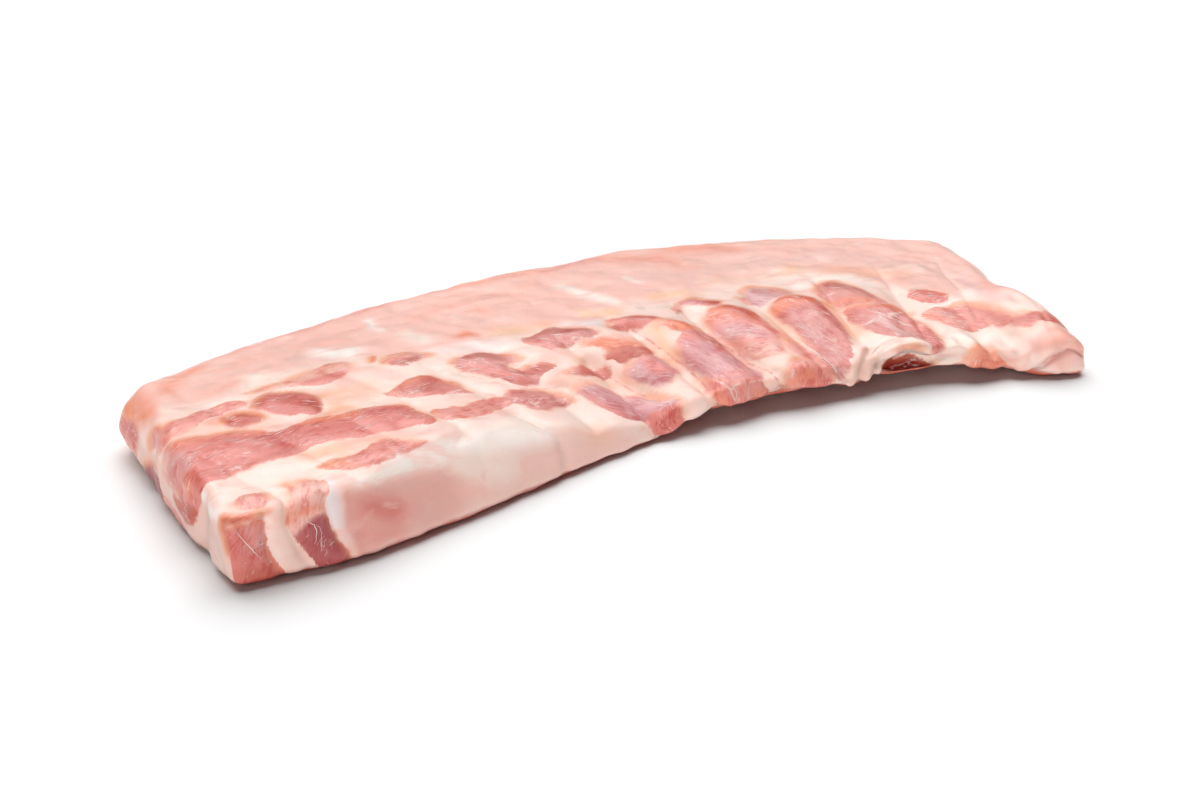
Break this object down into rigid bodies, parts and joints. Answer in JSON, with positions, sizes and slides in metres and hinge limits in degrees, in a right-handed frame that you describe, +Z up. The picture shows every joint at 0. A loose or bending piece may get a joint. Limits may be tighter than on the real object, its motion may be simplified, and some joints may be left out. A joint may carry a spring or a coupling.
{
  "type": "raw pork rib rack",
  "caption": "Curved slab of raw ribs cut square at both ends, with a thick block end, a thin lifted skirt, a folded lip over a hollow and grooved bone side below.",
  "frame": {"origin": "middle of the rack's box, on the surface that the rack rests on", "axes": "+X along the rack from rib to rib, towards the end with the rounded knuckle; +Y along the ribs, from the thin near edge to the smooth far edge; +Z up"},
  "size_m": [0.3844, 0.1726, 0.0304],
  "materials": {
    "raw_meat": "moist raw pork: pale pink membrane, rose-red lean muscle and creamy fat, with a soft wet sheen"
  },
  "bodies": {
    "root": {"rib_rack": "raw_meat"}
  },
  "joints": []
}
